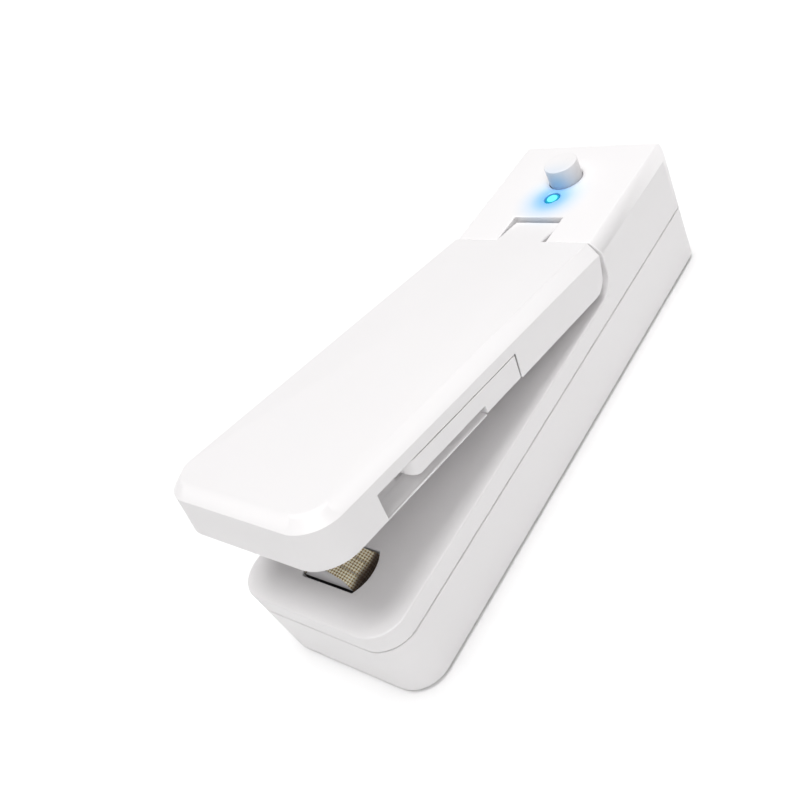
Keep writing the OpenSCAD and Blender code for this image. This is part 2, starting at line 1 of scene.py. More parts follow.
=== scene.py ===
import json
import math
from math import cos, pi, radians, sin

import bmesh
import bpy
from mathutils import Matrix, Vector
from mathutils.bvhtree import BVHTree


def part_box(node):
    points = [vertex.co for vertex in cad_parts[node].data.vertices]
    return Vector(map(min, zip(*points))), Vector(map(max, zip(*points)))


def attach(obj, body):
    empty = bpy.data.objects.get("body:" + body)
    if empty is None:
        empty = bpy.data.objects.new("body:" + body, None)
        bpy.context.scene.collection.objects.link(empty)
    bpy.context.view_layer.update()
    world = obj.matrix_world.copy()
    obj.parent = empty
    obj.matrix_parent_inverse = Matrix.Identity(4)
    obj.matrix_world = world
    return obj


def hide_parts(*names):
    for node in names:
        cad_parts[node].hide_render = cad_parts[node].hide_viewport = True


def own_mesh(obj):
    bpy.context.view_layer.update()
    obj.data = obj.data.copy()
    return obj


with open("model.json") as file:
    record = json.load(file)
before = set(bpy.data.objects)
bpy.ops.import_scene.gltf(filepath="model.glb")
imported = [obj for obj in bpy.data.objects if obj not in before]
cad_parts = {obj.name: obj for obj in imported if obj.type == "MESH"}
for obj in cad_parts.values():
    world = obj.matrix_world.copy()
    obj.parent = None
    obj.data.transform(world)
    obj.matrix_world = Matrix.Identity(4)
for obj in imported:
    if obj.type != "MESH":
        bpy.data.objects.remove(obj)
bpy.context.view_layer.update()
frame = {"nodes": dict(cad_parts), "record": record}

MM = 0.001
NODES = frame["nodes"]
CLEAR = 0.02 * MM                       # open space between pieces that touch
LEAST_ROUNDING = 0.15                   # smallest part of the full rounding that is worth making
ROOM_PART = 0.42                        # largest part of a face's width that a rounded edge takes
EDGE_TURN = radians(28)                 # least turn between two faces that makes an edge worth rounding
WELD = 0.001 * MM                       # distance below which two points of a CAD mesh are one
HEAD_RISE = 2.3 * MM                    # height of the heated head above the deck
TAB_LENGTH = 1.7 * MM                   # depth below the deck at which the cloth's wide tabs begin
SCREW_HEAD = {"base_screws": 1.2 * MM, "arm_screws": 0.55 * MM, "board_screws": 0.9 * MM}


# ---------- sizes read from the frame ----------

def low(node):
    return Vector(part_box(node)[0])


def high(node):
    return Vector(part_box(node)[1])


def middle(node):
    return (low(node) + high(node)) / 2


def joint(name):
    return next(j for j in frame["record"]["behaviour"]["joints"] if j["name"] == name)


HINGE = Vector(joint("arm_hinge")["pos_m"])
ARM_OPEN = radians(11.43)               # angle at which the arm stands open at rest
ARM_TURN = Matrix.Translation(HINGE) @ Matrix.Rotation(-ARM_OPEN, 4, "X") @ Matrix.Translation(-HINGE)
DECK = high("heater_cloth").z - HEAD_RISE
BLOCK_TOP = high("top_shell").z
LIGHT_SPOT = Vector((0, middle("indicator_led").y, BLOCK_TOP))


# ---------- node trees ----------

class Value:
    """A socket of a node tree. Arithmetic on it adds Math nodes."""

    def __init__(self, nodes, socket):
        self.nodes = nodes
        self.socket = socket

    def math(self, operation, *others):
        inputs = dict(enumerate([self, *others]))
        return self.nodes.node("ShaderNodeMath", {"operation": operation}, inputs)

    def __add__(self, other):
        return self.math("ADD", other)

    def __sub__(self, other):
        return self.math("SUBTRACT", other)

    def __rsub__(self, other):
        return self * -1 + other

    def __mul__(self, other):
        return self.math("MULTIPLY", other)

    def __truediv__(self, other):
        return self.math("DIVIDE", other)

    __radd__ = __add__
    __rmul__ = __mul__

    def above(self, edge):
        return self.math("GREATER_THAN", edge)

    def at_least(self, other):
        return self.math("MAXIMUM", other)

    def at_most(self, other):
        return self.math("MINIMUM", other)

    def size(self):
        return self.math("ABSOLUTE")

    def power(self, other):
        return self.math("POWER", other)

    def sine(self):
        return self.math("SINE")

    def fraction(self):
        return self.math("FRACT")

    def floor(self):
        return self.math("FLOOR")

    def ramp(self, start, end):
        """0 up to start, 1 from end on, and a smooth rise or fall between them."""
        inputs = {"Value": self, "From Min": start, "From Max": end}
        return self.nodes.node("ShaderNodeMapRange", {"interpolation_type": "SMOOTHSTEP"}, inputs)


class Nodes:
    """A node tree being written. Every node in it comes from one method."""

    def __init__(self, tree):
        self.tree = tree

    def node(self, kind, settings=None, inputs=None, out=0):
        new = self.tree.nodes.new(kind)
        for key, value in (settings or {}).items():
            if key == "stops":
                self.set_stops(new.color_ramp, value)
            else:
                setattr(new, key, value)
        for key, value in (inputs or {}).items():
            self.feed(new.inputs[key], value)
        return Value(self, new.outputs[out])

    def feed(self, socket, value):
        if isinstance(value, Value):
            self.tree.links.new(value.socket, socket)
        else:
            socket.default_value = value

    def set_stops(self, ramp, stops):
        while len(ramp.elements) < len(stops):
            ramp.elements.new(1)
        for element, (position, colour) in zip(ramp.elements, stops):
            element.position = position
            element.color = rgba(colour)

    def split(self, vector):
        parts = self.tree.nodes.new("ShaderNodeSeparateXYZ")
        self.feed(parts.inputs[0], vector)
        return [Value(self, out) for out in parts.outputs]

    def join(self, x, y, z):
        return self.node("ShaderNodeCombineXYZ", None, {0: x, 1: y, 2: z})

    def scaled(self, vector, factors):
        return self.node("ShaderNodeVectorMath", {"operation": "MULTIPLY"}, {0: vector, 1: factors})


def rgba(colour):
    return (*colour[:3], 1)


class Shape(Nodes):
    """A geometry node tree with named inputs for its sizes."""

    def __init__(self, name, sizes):
        super().__init__(bpy.data.node_groups.new(name, "GeometryNodeTree"))
        self.sizes = sizes
        face = self.tree.interface
        for way in ("INPUT", "OUTPUT"):
            face.new_socket("Geometry", in_out=way, socket_type="NodeSocketGeometry")
        for key, value in sizes.items():
            kind = {int: "NodeSocketInt", float: "NodeSocketFloat"}.get(type(value), "NodeSocketObject")
            face.new_socket(key, in_out="INPUT", socket_type=kind)
        self.group = self.tree.nodes.new("NodeGroupInput")

    def size(self, name):
        return Value(self, self.group.outputs[name])

    def build(self, name, geometry, finish, start=None):
        """Ends the tree, runs it once on a start mesh and returns the result as a piece."""
        whole = self.node("GeometryNodeRealizeInstances", None, {0: geometry})
        coated = self.node("GeometryNodeSetMaterial", None, {"Geometry": whole, "Material": finish})
        self.feed(self.tree.nodes.new("NodeGroupOutput").inputs[0], coated)
        holder = new_piece(name, start or bpy.data.meshes.new(name), finish)
        modifier = holder.modifiers.new("shape", "NODES")
        modifier.node_group = self.tree
        for item in self.tree.interface.items_tree:
            if item.in_out == "INPUT" and item.name in self.sizes:
                modifier[item.identifier] = self.sizes[item.name]
        return applied(holder)

    def tube(self, curve, radius, sides):
        ring = self.node("GeometryNodeCurvePrimitiveCircle", None, {"Resolution": sides, "Radius": radius})
        return self.node("GeometryNodeCurveToMesh", None, {0: curve, 1: ring, "Fill Caps": True})


class Finish(Nodes):
    """One material round a Principled shader: fixed sockets by name, varying ones with vary()."""

    def __init__(self, name, **fixed):
        self.material = bpy.data.materials.new(name)
        self.material.use_nodes = True
        super().__init__(self.material.node_tree)
        self.shader = self.tree.nodes["Principled BSDF"]
        for key, value in fixed.items():
            self.shader.inputs[key.replace("_", " ")].default_value = value
        self.place = self.node("ShaderNodeTexCoord", out="Object")

    def vary(self, name, value):
        self.feed(self.shader.inputs[name], value)

    def noise(self, size, detail=2, stretch=(1, 1, 1)):
        """Cloudy values about 0.5, with spots about as large as size."""
        inputs = {"Vector": self.scaled(self.place, stretch), "Scale": 1 / size, "Detail": detail}
        return self.node("ShaderNodeTexNoise", None, inputs)

    def distance(self, point):
        ends = {0: self.place, 1: point}
        return self.node("ShaderNodeVectorMath", {"operation": "DISTANCE"}, ends, "Value")

    def mix(self, factor, first, second):
        pair = [c if isinstance(c, Value) else rgba(c) for c in (first, second)]
        inputs = {0: factor, 6: pair[0], 7: pair[1]}
        return self.node("ShaderNodeMix", {"data_type": "RGBA"}, inputs, 2)

    def bump(self, height, depth):
        inputs = {"Height": height, "Distance": depth, "Strength": 1.0}
        self.vary("Normal", self.node("ShaderNodeBump", None, inputs, "Normal"))


# ---------- finishes ----------

def tone(colour, factor):
    return tuple(c * factor for c in colour)


def moulded(name, colour, roughness, grain=0.3 * MM, depth=0.004 * MM, glow=0.0, foot=None):
    """Moulded plastic: a fine spark-eroded grain, faint flow marks and a slightly uneven gloss.

    glow is the share of the indicator's blue that it takes, foot the height where the painted shade at the
    foot starts to fade.
    """
    finish = Finish(name, IOR=1.5)
    fine = finish.noise(grain, 3)
    flow = finish.noise(14 * MM, 2, (1, 0.35, 1))
    cloud = finish.noise(3 * MM, 2)
    base = finish.mix(flow, tone(colour, 0.985), tone(colour, 1.01))
    base = finish.mix((fine - 0.5).size() * 0.12, base, tone(colour, 0.9))
    # painted shade: greyer towards the foot
    if foot is not None:
        base = painted_foot_shade(finish, base, foot)
    if glow:
        base = lit_by_indicator(finish, base, glow)
    finish.vary("Base Color", base)
    finish.vary("Roughness", roughness + (cloud - 0.5) * 0.1 + (fine - 0.5) * 0.08)
    finish.bump(fine + flow * 2, depth)
    return finish.material


def painted_foot_shade(finish, base, foot):
    """Paints shade on a side: greyer towards its foot, where it rises out of the block."""
    fade = 4.5 * MM
    height = finish.split(finish.place)[2]
    foot_shade = 1 - height.ramp(foot, foot + fade)
    # painted shade: mixes grey into the colour towards the foot
    return finish.mix(foot_shade * 0.35, base, (0.42, 0.42, 0.45))


def lit_by_indicator(finish, base, glow):
    """Tints the plastic round the indicator with the blue that shines through its wall."""
    lens_edge, halo, bright_halo = 1.2 * MM, 8.8 * MM, 4.8 * MM
    away = finish.distance(tuple(LIGHT_SPOT))
    wide = 1 - away.ramp(lens_edge, halo)
    near = 1 - away.ramp(lens_edge, bright_halo)
    base = finish.mix(wide.power(1.4) * 0.85 * glow, base, (0.34, 0.66, 1.0))
    return finish.mix(near * 0.55 * glow, base, (0.1, 0.47, 1.0))


def metal(name, colour, roughness, brushed=(1, 1, 1), grain=0.15 * MM):
    """Metal with fine lines along the axis that brushed stretches, and faint stains."""
    depth, stain = 0.003 * MM, 0.24
    finish = Finish(name, Metallic=1.0)
    lines = finish.noise(grain, 4, brushed)
    cloud = finish.noise(2.5 * MM, 3)
    finish.vary("Base Color", finish.mix(cloud * stain, colour, tone(colour, 0.72)))
    finish.vary("Roughness", roughness + (lines - 0.5) * 0.2 + (cloud - 0.5) * 0.12)
    finish.bump(lines, depth)
    return finish.material


def rubbery(name, colour, roughness, grain=0.5 * MM):
    """Silicone rubber: dull, with a soft skin and dust in its pores."""
    finish = Finish(name, IOR=1.41)
    fine = finish.noise(grain, 4)
    cloud = finish.noise(2 * MM, 2)
    finish.vary("Base Color", finish.mix(fine.power(3) * 1.6, colour, tone(colour, 1.5)))
    finish.vary("Roughness", roughness + (cloud - 0.5) * 0.2)
    finish.bump(fine, 0.008 * MM)
    return finish.material


def glass_cloth():
    """Coated glass cloth, tan, with its light and shade painted on: near-white painted highlights on the
    yarn crowns, painted shade in the hollows, a painted shade line along the heating strip's edge and
    painted shade down the sides where it turns into the slots.
    """
    finish = Finish("glass_cloth", IOR=1.4, Sheen_Weight=0.15)
    crown = finish.node("ShaderNodeAttribute", {"attribute_name": "crown"}, out="Fac")
    fibre = finish.noise(0.06 * MM, 3)
    cloud = finish.noise(1.6 * MM, 2)
    # painted highlight and shade: the weave's height picks near-white on the crowns and near-black brown in
    # the hollows, round the cloth's own tan
    stops = [(0.0, (0.05, 0.022, 0.008)), (0.3, (0.26, 0.15, 0.06)), (0.5, (0.86, 0.72, 0.42)),
             (0.68, (1.0, 0.95, 0.74)), (1.0, (1.0, 1.0, 0.93))]
    shade = crown + (fibre - 0.5) * 0.16 + (cloud - 0.5) * 0.22
    yarn_lit_and_shaded = finish.node("ShaderNodeValToRGB", {"stops": stops}, {0: shade})
    x, y, _ = finish.split(finish.place)
    ragged = (cloud - 0.5) * 0.6 * MM
    # painted shade: nearly black down both sides, where the cloth turns down into the slots
    side_shade = (x.size() + ragged).ramp(4.6 * MM, 5.4 * MM)
    # painted shade: a dark line along the edge of the heating strip, where the cloth steps over it
    strip_edge = 1.15 * MM
    off_edge = ((y - middle("heater_cloth").y).size() - strip_edge).size()
    ridge_shade = 1 - off_edge.ramp(0.04 * MM, 0.22 * MM)
    ridge_shaded = finish.mix(ridge_shade * 0.55, yarn_lit_and_shaded, (0.1, 0.055, 0.02))
    finish.vary("Base Color", finish.mix(side_shade * 0.93, ridge_shaded, (0.03, 0.009, 0.003)))
    finish.vary("Roughness", 0.62 - crown * 0.22)
    finish.bump(fibre, 0.01 * MM)
    return finish.material


def head_resin():
    """The heater's seat: grey above the deck, and painted near black below it, as the shade in its well."""
    finish = Finish("head_resin", IOR=1.5)
    height = finish.split(finish.place)[2]
    fine = finish.noise(0.25 * MM, 3)
    # painted shade: near black below the deck, inside the well
    black = 1 - height.ramp(DECK - 0.25 * MM, DECK - 0.02 * MM)
    grey = finish.mix(fine, (0.72, 0.71, 0.72), (0.8, 0.79, 0.8))
    finish.vary("Base Color", finish.mix(black, grey, (0.012, 0.011, 0.011)))
    finish.vary("Roughness", 0.5 + (fine - 0.5) * 0.1)
    finish.bump(fine, 0.01 * MM)
    return finish.material


def heated_strip():
    """Resistance strip with straw and blue heat colours."""
    finish = Finish("heating_alloy", Metallic=1.0)
    heat = finish.noise(1.5 * MM, 3)
    lines = finish.noise(0.1 * MM, 3, (0.05, 1, 1))
    stops = [(0.25, (0.5, 0.48, 0.45)), (0.5, (0.62, 0.48, 0.28)), (0.75, (0.3, 0.32, 0.45))]
    finish.vary("Base Color", finish.node("ShaderNodeValToRGB", {"stops": stops}, {0: heat}))
    finish.vary("Roughness", 0.3 + lines * 0.2)
    finish.bump(lines, 0.003 * MM)
    return finish.material


def shrink_film():
    """Heat-shrink film over a cell, with a welded seam along it and a few tight wrinkles."""
    finish = Finish("cell_wrap", IOR=1.5, Coat_Weight=0.3)
    x = finish.split(finish.place)[0]
    seam_x = 1.1 * MM
    seam = 1 - (x.size() - seam_x).size().ramp(0.1 * MM, 0.35 * MM)
    wrinkle = finish.noise(1.2 * MM, 3, (1, 0.15, 1))
    blue = (0.03, 0.15, 0.42)
    finish.vary("Base Color", finish.mix(seam * 0.5, blue, tone(blue, 1.7)))
    finish.vary("Roughness", 0.22 + wrinkle * 0.2)
    finish.bump(wrinkle + seam * 0.6, 0.02 * MM)
    return finish.material


def laminate():
    """Circuit board: green mask, copper tracks under it in both directions, and tinned spots."""
    finish = Finish("board_laminate", IOR=1.5)
    x, y, _ = finish.split(finish.place)
    pitch = 1.3 * MM
    cell = finish.join((x / (4 * pitch)).floor(), (y / (3 * pitch)).floor(), 0.0)
    pick = finish.node("ShaderNodeTexWhiteNoise", {"noise_dimensions": "2D"}, {"Vector": cell})
    along = ((x / pitch).fraction() - 0.5).size()
    across = ((y / pitch).fraction() - 0.5).size()
    turned_way = pick.above(0.5)
    track = 1 - (along * turned_way + across * (1 - turned_way)).ramp(0.1, 0.16)
    via = 1 - (along * along + across * across).ramp(0.012, 0.03)
    tin = via * pick.fraction().above(0.62)
    green = finish.mix(track, (0.012, 0.12, 0.045), (0.03, 0.26, 0.09))
    finish.vary("Base Color", finish.mix(tin, green, (0.7, 0.68, 0.62)))
    finish.vary("Metallic", tin * 0.9)
    finish.vary("Roughness", 0.35 - tin * 0.1 + finish.noise(1 * MM) * 0.1)
    finish.bump(track * 0.6 + tin, 0.03 * MM)
    return finish.material


def lit_lens():
    """The lit indicator: a bright cyan middle and a deeper teal rim."""
    finish = Finish("led_lens", IOR=1.5, Roughness=0.15, Emission_Strength=1.0)
    x, y, _ = finish.split(finish.place)
    out = x.power(2) + (y - LIGHT_SPOT.y).power(2)
    edge = out.power(0.5).ramp(0.9 * MM, 1.15 * MM)
    haze = finish.noise(0.5 * MM, 2)
    core = finish.mix(haze * 0.5, (0.16, 1.0, 1.0), (0.3, 1.0, 1.0))
    finish.vary("Base Color", finish.mix(edge, (0.02, 0.3, 0.4), (0.01, 0.12, 0.22)))
    finish.vary("Emission Color", finish.mix(edge, core, (0.0, 0.24, 0.38)))
    return finish.material


def make_finishes():
    white = (0.885, 0.872, 0.876)
    along_y = (1, 0.04, 1)
    along_x = (0.04, 1, 1)
    round_z = (1, 1, 0.05)
    steel = (0.62, 0.62, 0.63)
    return {
        "white_shell": moulded("white_shell", white, 0.36, glow=1.0),
        "white_button": moulded("white_button", tone(white, 1.01), 0.3, 0.2 * MM, 0.002 * MM,
                                glow=0.55, foot=BLOCK_TOP),
        "liner_plastic": moulded("liner_plastic", (0.7, 0.69, 0.695), 0.55, 0.4 * MM, 0.012 * MM),
        "head_resin": head_resin(),
        "glass_cloth": glass_cloth(),
        "heating_alloy": heated_strip(),
        "brass": metal("brass", (0.78, 0.6, 0.28), 0.3, along_x),
        "lead_insulation": rubbery("lead_insulation", (0.42, 0.03, 0.025), 0.5, 0.2 * MM),
        "cell_wrap": shrink_film(),
        "nickel": metal("nickel", (0.7, 0.68, 0.64), 0.28, along_x),
        "board_laminate": laminate(),
        "black_parts": moulded("black_parts", (0.022, 0.022, 0.024), 0.45, 0.15 * MM, 0.006 * MM),
        "stem_plastic": moulded("stem_plastic", (0.09, 0.09, 0.1), 0.4, 0.15 * MM, 0.004 * MM),
        "led_lens": lit_lens(),
        "plated_steel": metal("plated_steel", (0.82, 0.82, 0.83), 0.18, along_y),
        "pin_steel": metal("pin_steel", steel, 0.25, along_x),
        "spring_steel": metal("spring_steel", (0.5, 0.5, 0.51), 0.3, grain=0.2 * MM),
        "screw_steel": metal("screw_steel", (0.5, 0.5, 0.52), 0.34, round_z),
        "blade_steel": metal("blade_steel", (0.66, 0.67, 0.68), 0.2, along_x, 0.08 * MM),
        "silicone": rubbery("silicone", (0.17, 0.17, 0.175), 0.7),
    }


# ---------- making pieces ----------

def new_piece(name, mesh, finish):
    """Puts a mesh in the scene as a finished piece with one material."""
    mesh.materials.clear()
    mesh.materials.append(finish)
    piece = bpy.data.objects.new(name, mesh)
    bpy.context.scene.collection.objects.link(piece)
    return piece


def from_bmesh(name, shape, finish, sharp=35):
    mesh = bpy.data.meshes.new(name)
    shape.to_mesh(mesh)
    shape.free()
    piece = new_piece(name, mesh, finish)
    smooth(piece, sharp)
    return piece


def smooth(piece, sharp=35):
    for face in piece.data.polygons:
        face.use_smooth = True
    piece.data.set_sharp_from_angle(angle=radians(sharp))


def applied(piece):
    """Turns a piece's modifiers into plain mesh."""
    graph = bpy.context.evaluated_depsgraph_get()
    mesh = bpy.data.meshes.new_from_object(piece.evaluated_get(graph))
    piece.modifiers.clear()
    piece.data = mesh
    return piece


def stand_for(piece, body, node):
    """Fixes a piece to its body, in the place of a CAD node."""
    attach(piece, body)
    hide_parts(node)


def outer_edges(shape):
    """Convex edges that turn by more than EDGE_TURN and look out of the piece."""
    tree = BVHTree.FromBMesh(shape)
    found = []
    for edge in shape.edges:
        inner = len(edge.link_faces) != 2 or not edge.is_convex
        if inner or edge.calc_face_angle(0) < EDGE_TURN:
            continue
        way = (edge.link_faces[0].normal + edge.link_faces[1].normal).normalized()
        start = (edge.verts[0].co + edge.verts[1].co) / 2 + way * CLEAR
        if tree.ray_cast(start, way)[0] is None:
            found.append(edge)
    return found


def flat_patch(face):
    """The edges round the flat region that a face belongs to."""
    seen = {face}
    border = []
    waiting = [face]
    while waiting:
        for edge in waiting.pop().edges:
            if len(edge.link_faces) != 2 or edge.calc_face_angle(0) > radians(0.5):
                border.append(edge)
                continue
            for other in edge.link_faces:
                if other not in seen:
                    seen.add(other)
                    waiting.append(other)
    return border


def room_beside(edge, face, border):
    """Least open distance across a flat region, from points along one of its edges."""
    a, b = (v.co for v in edge.verts)
    along = (b - a).normalized()
    inward = face.normal.cross(along)
    if inward.dot(face.calc_center_median() - a) < 0:
        inward = -inward
    least = 1.0
    for part in (0.03, 0.25, 0.5, 0.75, 0.97):
        start = a.lerp(b, part)
        for other in border:
            if other is edge:
                continue
            ends = [v.co - start for v in other.verts]
            sides = [end.dot(along) for end in ends]
            if sides[0] * sides[1] > 0 or sides[0] == sides[1]:
                continue
            reach = ends[0].lerp(ends[1], sides[0] / (sides[0] - sides[1])).dot(inward)
            if CLEAR / 4 < reach < least:
                least = reach
    return least


def room_at_ends(edge):
    """Length of the shortest edge that leaves this one's ends to the side."""
    along = (edge.verts[1].co - edge.verts[0].co).normalized()
    least = 1.0
    for vert in edge.verts:
        for other in vert.link_edges:
            way = (other.other_vert(vert).co - vert.co).normalized()
            if other is not edge and abs(way.dot(along)) < cos(radians(30)):
                least = min(least, other.calc_length())
    return least


def chains(edges):
    """Groups edges that run on from one to the next without a corner."""
    loose = set(edges)
    groups = []
    while loose:
        group = [loose.pop()]
        for edge in group:
            along = (edge.verts[1].co - edge.verts[0].co).normalized()
            for other in {e for vert in edge.verts for e in vert.link_edges} & loose:
                way = (other.verts[1].co - other.verts[0].co).normalized()
                if abs(way.dot(along)) > cos(radians(30)):
                    loose.remove(other)
                    group.append(other)
        groups.append(group)
    return groups


def edge_room(edge, borders):
    room = room_at_ends(edge)
    for face in edge.link_faces:
        if face not in borders:
            borders[face] = flat_patch(face)
        room = min(room, room_beside(edge, face, borders[face]))
    return room


def round_edges(shape, width):
    """Marks outer edges for rounding, each run of them as wide as its tightest spot allows."""
    weight = shape.edges.layers.float.new("bevel_weight_edge")
    borders = {}
    for group in chains(outer_edges(shape)):
        room = min(edge_room(edge, borders) for edge in group)
        part = min(1, room * ROOM_PART / width)
        for edge in group:
            edge[weight] = part if part > LEAST_ROUNDING else 0


def eased(node, body, slot, finishes, width, steps=3):
    """A copy of a CAD moulding with its outer edges rounded, which stands for it."""
    shape = bmesh.new()
    shape.from_mesh(NODES[node].data)
    bmesh.ops.remove_doubles(shape, verts=shape.verts, dist=WELD)
    bmesh.ops.dissolve_limit(shape, angle_limit=radians(0.3), verts=shape.verts, edges=shape.edges)
    shape.normal_update()
    round_edges(shape, width)
    piece = from_bmesh(node + "_eased", shape, finishes[slot])
    bevel = piece.modifiers.new("rounding", "BEVEL")
    bevel.width = width
    bevel.segments = steps
    bevel.limit_method = "WEIGHT"
    bevel.use_clamp_overlap = False
    bevel.loop_slide = False
    bevel.miter_outer = "MITER_ARC"
    weighted = piece.modifiers.new("normals", "WEIGHTED_NORMAL")
    weighted.keep_sharp = True
    applied(piece)
    stand_for(piece, body, node)


def arc(centre, radius, start, end, steps):
    """Points of an arc in (radius, height), with angles in degrees."""
    angles = [radians(start + (end - start) * i / steps) for i in range(steps + 1)]
    return [(centre[0] + radius * cos(a), centre[1] + radius * sin(a)) for a in angles]


def lathe(profile, steps=64):
    """A closed solid turned about Z from (radius, height) points, from one end to the other."""
    shape = bmesh.new()
    rings = []
    for radius, height in profile:
        if radius < CLEAR:
            rings.append([shape.verts.new((0, 0, height))])
            continue
        angles = [2 * pi * i / steps for i in range(steps)]
        rings.append([shape.verts.new((radius * cos(a), radius * sin(a), height)) for a in angles])
    for under, over in zip(rings, rings[1:]):
        for i in range(steps):
            j = (i + 1) % steps
            corners = [row[k % len(row)] for row, k in ((under, i), (under, j), (over, j), (over, i))]
            shape.faces.new(list(dict.fromkeys(corners)))
    bmesh.ops.recalc_face_normals(shape, faces=shape.faces)
    return shape


def ring(profile, steps):
    """A closed outline turned round the upright axis."""
    shape = bmesh.new()
    rings = []
    for i in range(steps):
        turn = 2 * pi * i / steps
        rings.append([shape.verts.new((r * cos(turn), r * sin(turn), z)) for r, z in profile])
    for i in range(steps):
        here, after = rings[i], rings[(i + 1) % steps]
        for j in range(len(profile)):
            k = (j + 1) % len(profile)
            shape.faces.new((here[j], after[j], after[k], here[k]))
    bmesh.ops.recalc_face_normals(shape, faces=shape.faces)
    return shape


def placed(shape, where, turn=Matrix()):
    """Turns a shape's points and moves them to a place."""
    bmesh.ops.transform(shape, matrix=Matrix.Translation(where) @ turn, verts=shape.verts)
    return shape


def joined(*shapes):
    """One shape from several, which end up in the first."""
    whole = shapes[0]
    for extra in shapes[1:]:
        mesh = bpy.data.meshes.new("extra")
        extra.to_mesh(mesh)
        extra.free()
        whole.from_mesh(mesh)
        bpy.data.meshes.remove(mesh)
    return whole


def block(centre, size, edge):
    """A box with all its edges rounded."""
    shape = bmesh.new()
    bmesh.ops.create_cube(shape, size=1)
    placed(shape, centre, Matrix.Diagonal((*size, 1)))
    bmesh.ops.bevel(shape, geom=shape.edges[:], offset=edge, segments=2, affect="EDGES", profile=0.5)
    return shape


def islands(node, turn=Matrix()):
    """Lowest and highest corners of each separate solid of a CAD node, in a frame turned by turn."""
    shape = bmesh.new()
    shape.from_mesh(NODES[node].data)
    bmesh.ops.remove_doubles(shape, verts=shape.verts, dist=WELD)
    bmesh.ops.transform(shape, matrix=turn.inverted(), verts=shape.verts)
    waiting = set(shape.verts)
    found = []
    while waiting:
        group = [waiting.pop()]
        for vert in group:
            near = {edge.other_vert(vert) for edge in vert.link_edges} & waiting
            waiting -= near
            group.extend(near)
        corners = [Vector(pick(v.co[i] for v in group) for i in range(3)) for pick in (min, max)]
        found.append(corners)
    shape.free()
    return sorted(found, key=lambda box: tuple(box[0]))


# ---------- the mouldings ----------

def make_mouldings(finishes):
    eased("base_shell", "base", "white_shell", finishes, 0.22 * MM)
    eased("top_shell", "base", "white_shell", finishes, 0.22 * MM)
    eased("arm_shell", "arm", "white_shell", finishes, 0.25 * MM)
    eased("cutter_lever", "lever", "white_shell", finishes, 0.2 * MM)
    eased("arm_liner", "arm", "liner_plastic", finishes, 0.12 * MM)
    eased("heater_seat", "base", "head_resin", finishes, 0.08 * MM, 2)
    eased("press_pad", "arm", "silicone", finishes, 0.25 * MM)
    eased("usb_socket", "base", "plated_steel", finishes, 0.06 * MM, 2)
    eased("usb_tongue", "base", "black_parts", finishes, 0.08 * MM, 2)
    eased("push_switch", "base", "black_parts", finishes, 0.15 * MM, 2)
    eased("circuit_board", "base", "board_laminate", finishes, 0.05 * MM, 1)
    eased("heater_terminals", "base", "brass", finishes, 0.12 * MM, 2)
    eased("battery_tabs", "base", "nickel", finishes, 0.05 * MM, 1)
    eased("heater_wire", "base", "heating_alloy", finishes, 0.04 * MM, 1)
    eased("cutter_blade", "lever", "blade_steel", finishes, 0.06 * MM, 1)


# ---------- the heated head ----------

def cloth_sizes():
    """The woven strip's sizes, from the head that it covers."""
    floor, top = low("heater_cloth"), high("heater_cloth")
    arch_half, skin = 5.5 * MM, 0.15 * MM
    arch_r = (arch_half ** 2 + HEAD_RISE ** 2) / (2 * HEAD_RISE)
    radius = arch_r - skin
    bend = math.asin((top.x - skin) / radius)
    hub = top.z - arch_r
    drop = hub + radius * cos(bend) - floor.z
    return {"Half length": radius * bend + drop, "Tab half width": (top.y - floor.y) / 2,
            "Band half width": 3.45 * MM, "Yarn pitch": 0.46 * MM, "Relief": 0.13 * MM,
            "Arch radius": radius, "Arch angle": bend, "Hub height": hub,
            "Strip half width": 1.0 * MM, "Strip rise": 0.08 * MM}


def weave(u, v):
    """Height of a plain weave, 0 in the hollows and 1 on the crowns, with yarns one unit apart."""
    over = (u * pi).sine() * (v * pi).sine()
    lengthwise = (v * pi).sine().size().power(0.7) * (over * 0.5 + 0.5)
    crosswise = (u * pi).sine().size().power(0.7) * (0.5 - over * 0.5)
    return lengthwise.at_least(crosswise)


def cloth_width(shape, height):
    """Half the cloth's width at a height, and 1 where it is one of the wide tabs in the slots."""
    taper, soft = 0.8 / 2.4, 0.05 * MM
    narrow = shape.size("Band half width") - (height - DECK).at_least(0.0) * taper
    wide = 1 - height.ramp(DECK - TAB_LENGTH - soft, DECK - TAB_LENGTH + soft)
    return narrow + (shape.size("Tab half width") - narrow) * wide, wide


